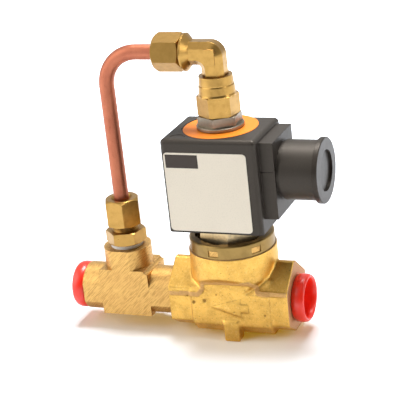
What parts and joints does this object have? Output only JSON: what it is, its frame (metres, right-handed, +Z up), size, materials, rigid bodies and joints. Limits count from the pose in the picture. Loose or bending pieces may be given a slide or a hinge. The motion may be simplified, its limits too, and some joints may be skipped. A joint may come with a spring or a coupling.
{
  "type": "automatic drain valve",
  "caption": "Brass pilot-operated solenoid drain valve with a coil on top, an outside copper pilot line from a tee on the outlet, and plugged ports.",
  "frame": {"origin": "under the operator's axis, on the plane the underside pad and the feet rest on", "axes": "+Z up along the operator, +X along the ports from the outlet side to the inlet side, +Y to the back"},
  "size_m": [0.1164, 0.0366, 0.1279],
  "materials": {
    "forging": "satin",
    "fitting": "satin",
    "bar": "satin",
    "tube_copper": "satin",
    "sleeve_steel": "satin",
    "core_steel": "satin",
    "hardware_steel": "satin",
    "yoke_steel": "satin",
    "spring_steel": "satin",
    "winding_wire": "gloss",
    "bobbin_plastic": "matte",
    "case_plastic": "satin",
    "lead_plastic": "satin",
    "cap_plastic": "satin",
    "front_film": "satin",
    "top_film": "satin",
    "seal_rubber": "matte",
    "seat_plastic": "satin",
    "thread_tape": "matte",
    "plug_plastic": "gloss"
  },
  "bodies": {
    "valve": {"valve_body": "forging", "bonnet": "bar", "bonnet_seal": "seal_rubber", "operator_seal": "seal_rubber", "operator": "sleeve_steel", "core": "core_steel", "washer": "hardware_steel", "jam_nut": "hardware_steel", "vent_adapter": "fitting", "elbow": "fitting", "connector": "fitting", "tape": "thread_tape", "tube_nuts": "fitting", "ferrules": "fitting", "copper_line": "tube_copper", "tee": "bar"},
    "coil": {"coil_case": "case_plastic", "yoke": "yoke_steel", "bobbin": "bobbin_plastic", "winding": "winding_wire", "coil_leads": "lead_plastic", "front_label": "front_film", "top_label": "top_film"},
    "plunger": {"plunger": "core_steel", "plunger_seal": "seal_rubber", "plunger_spring": "spring_steel"},
    "piston": {"piston": "bar", "piston_ring": "seat_plastic", "seat_disc": "seat_plastic", "piston_spring": "spring_steel"},
    "conduit_cap": {"conduit_cap": "cap_plastic"},
    "inlet_plug": {"inlet_plug": "plug_plastic"},
    "outlet_plug": {"outlet_plug": "plug_plastic"}
  },
  "joints": [
    {"name": "coil_swivel", "type": "hinge", "parent": "valve", "child": "coil", "pos_m": [0, 0, 0.0496], "axis": [0, 0, 1], "range_deg": [-150, 150]},
    {"name": "plunger_lift", "type": "slide", "parent": "valve", "child": "plunger", "axis": [0, 0, 1], "range_m": [0, 0.0016], "stiffness_N_per_m": 900, "springref_m": -0.003, "deforming": ["plunger_spring"]},
    {"name": "piston_lift", "type": "slide", "parent": "valve", "child": "piston", "axis": [0, 0, 1], "range_m": [0, 0.003], "stiffness_N_per_m": 600, "springref_m": -0.004, "deforming": ["piston_spring"]},
    {"name": "cap_pull", "type": "slide", "parent": "coil", "child": "conduit_cap", "axis": [1, 0, 0], "range_m": [0, 0.02]},
    {"name": "inlet_plug_pull", "type": "slide", "parent": "valve", "child": "inlet_plug", "axis": [1, 0, 0], "range_m": [0, 0.02]},
    {"name": "outlet_plug_pull", "type": "slide", "parent": "valve", "child": "outlet_plug", "axis": [-1, 0, 0], "range_m": [0, 0.02]}
  ]
}
